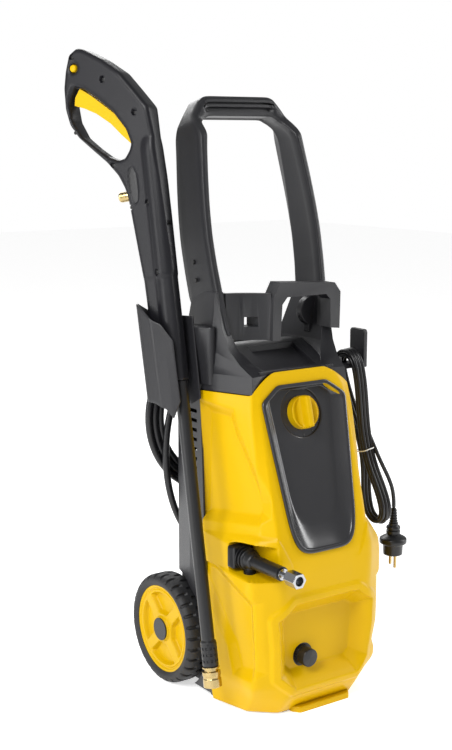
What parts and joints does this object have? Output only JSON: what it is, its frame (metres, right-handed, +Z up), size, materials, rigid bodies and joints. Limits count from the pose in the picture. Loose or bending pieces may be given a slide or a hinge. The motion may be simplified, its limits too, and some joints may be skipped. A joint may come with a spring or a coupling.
{
  "type": "pressure washer",
  "caption": "Upright electric pressure washer on wheels, with a lift-out spray gun and lance in a side sheath, a push handle and a front control knob.",
  "frame": {"origin": "on the base's underside, in the middle of its width, where the rear rest pad meets the floor", "axes": "+Z up, -Y towards the front with the control panel, +X towards the side with the mains lead, away from the gun"},
  "size_m": [0.4356, 0.4218, 0.9399],
  "materials": {
    "yellow_shell": "smooth satin moulding",
    "yellow_trim": "satin moulding",
    "dark_shell": "fine grained moulding",
    "panel_gloss": "polished",
    "gun_plastic": "satin moulding",
    "tyre_black": "moulded plastic tread",
    "steel": "zinc plated",
    "chrome_metal": "bright plated",
    "brass_metal": "machined",
    "cast_alloy": "as cast",
    "copper_winding": "varnished",
    "cord_rubber": "soft satin",
    "lance_black": "satin paint",
    "grey_fitting": "plain",
    "white_tie": "plain"
  },
  "bodies": {
    "chassis": {"front_cover": "yellow_shell", "rear_cover": "dark_shell", "base_plate": "dark_shell", "control_panel": "panel_gloss", "top_cover": "dark_shell", "handle_frame": "dark_shell", "carry_handle": "dark_shell", "bottle_seat": "dark_shell", "body_screws": "grey_fitting", "cord_hook": "dark_shell", "hose_hook": "dark_shell", "gun_holster": "dark_shell", "motor_casing": "cast_alloy", "stator_winding": "copper_winding", "motor_bearings": "steel", "pump_housing": "cast_alloy", "pump_head": "cast_alloy", "pump_pistons": "steel", "piston_springs": "steel", "inlet_connector": "grey_fitting", "inlet_pipe": "cord_rubber", "outlet_pipe": "lance_black", "outlet_boot": "dark_shell", "outlet_sleeve": "cord_rubber", "outlet_stem": "chrome_metal", "switch_unit": "dark_shell", "capacitor": "cast_alloy", "wheel_axle": "steel", "axle_washers": "steel", "cord_gland": "dark_shell", "power_cord_lead": "cord_rubber", "power_cord_hank": "cord_rubber", "power_cord_tail": "cord_rubber", "cord_tie": "white_tie", "plug_body": "dark_shell", "plug_pins": "brass_metal", "hose_coil": "cord_rubber", "hose_loop": "cord_rubber", "hose_fittings": "brass_metal"},
    "wheel_left": {"tyre_left": "tyre_black", "rim_left": "yellow_trim", "hub_cap_left": "dark_shell"},
    "wheel_right": {"tyre_right": "tyre_black", "rim_right": "yellow_trim", "hub_cap_right": "dark_shell"},
    "rotor": {"motor_rotor": "steel", "swash_plate": "steel", "cooling_fan": "dark_shell"},
    "knob": {"power_knob": "yellow_trim"},
    "cap": {"inlet_cap": "dark_shell"},
    "nut": {"outlet_nut": "chrome_metal"},
    "gun": {"gun_shell_left": "gun_plastic", "gun_shell_right": "gun_plastic", "gun_fixings": "grey_fitting", "gun_valve": "brass_metal"},
    "trigger": {"gun_trigger": "yellow_trim"},
    "lock": {"lock_button": "yellow_trim"},
    "lance": {"lance_tube": "lance_black", "quick_coupler": "brass_metal"},
    "sleeve": {"coupler_sleeve": "brass_metal"}
  },
  "joints": [
    {"name": "wheel_left_spin", "type": "hinge", "parent": "chassis", "child": "wheel_left", "pos_m": [-0.121, 0.094, 0.083], "axis": [1, 0, 0], "continuous": true},
    {"name": "wheel_right_spin", "type": "hinge", "parent": "chassis", "child": "wheel_right", "pos_m": [0.121, 0.094, 0.083], "axis": [1, 0, 0], "continuous": true},
    {"name": "rotor_spin", "type": "hinge", "parent": "chassis", "child": "rotor", "pos_m": [0, 0.02, 0.29], "axis": [0, 0, 1], "continuous": true},
    {"name": "knob_turn", "type": "hinge", "parent": "chassis", "child": "knob", "pos_m": [0, -0.07683, 0.43096], "axis": [0, -0.9659, 0.2588], "range_deg": [0, 90]},
    {"name": "inlet_cap_pull", "type": "slide", "parent": "chassis", "child": "cap", "axis": [0, -1, 0], "range_m": [0, 0.03]},
    {"name": "outlet_nut_spin", "type": "hinge", "parent": "chassis", "child": "nut", "pos_m": [-0.1, -0.18, 0.232], "axis": [0, 1, 0], "continuous": true},
    {"name": "gun_lift", "type": "slide", "parent": "chassis", "child": "gun", "axis": [0, 0.181, 0.9835], "range_m": [0, 0.55]},
    {"name": "trigger_pull", "type": "hinge", "parent": "gun", "child": "trigger", "pos_m": [-0.16213, 0.10676, 0.81139], "axis": [0.9146, 0.3977, -0.0732], "range_deg": [0, 12], "stiffness_Nm_per_rad": 1.5, "springref_deg": -8.59},
    {"name": "lock_push", "type": "slide", "parent": "gun", "child": "lock", "axis": [0.9146, 0.3977, -0.0732], "range_m": [0, 0.004]},
    {"name": "lance_twist", "type": "hinge", "parent": "gun", "child": "lance", "pos_m": [-0.15, 0.007, 0.421], "axis": [0, 0.181, 0.9835], "range_deg": [0, 90]},
    {"name": "coupler_sleeve_pull", "type": "slide", "parent": "lance", "child": "sleeve", "axis": [0, 0.181, 0.9835], "range_m": [0, 0.004], "stiffness_N_per_m": 800, "springref_m": -0.003}
  ]
}
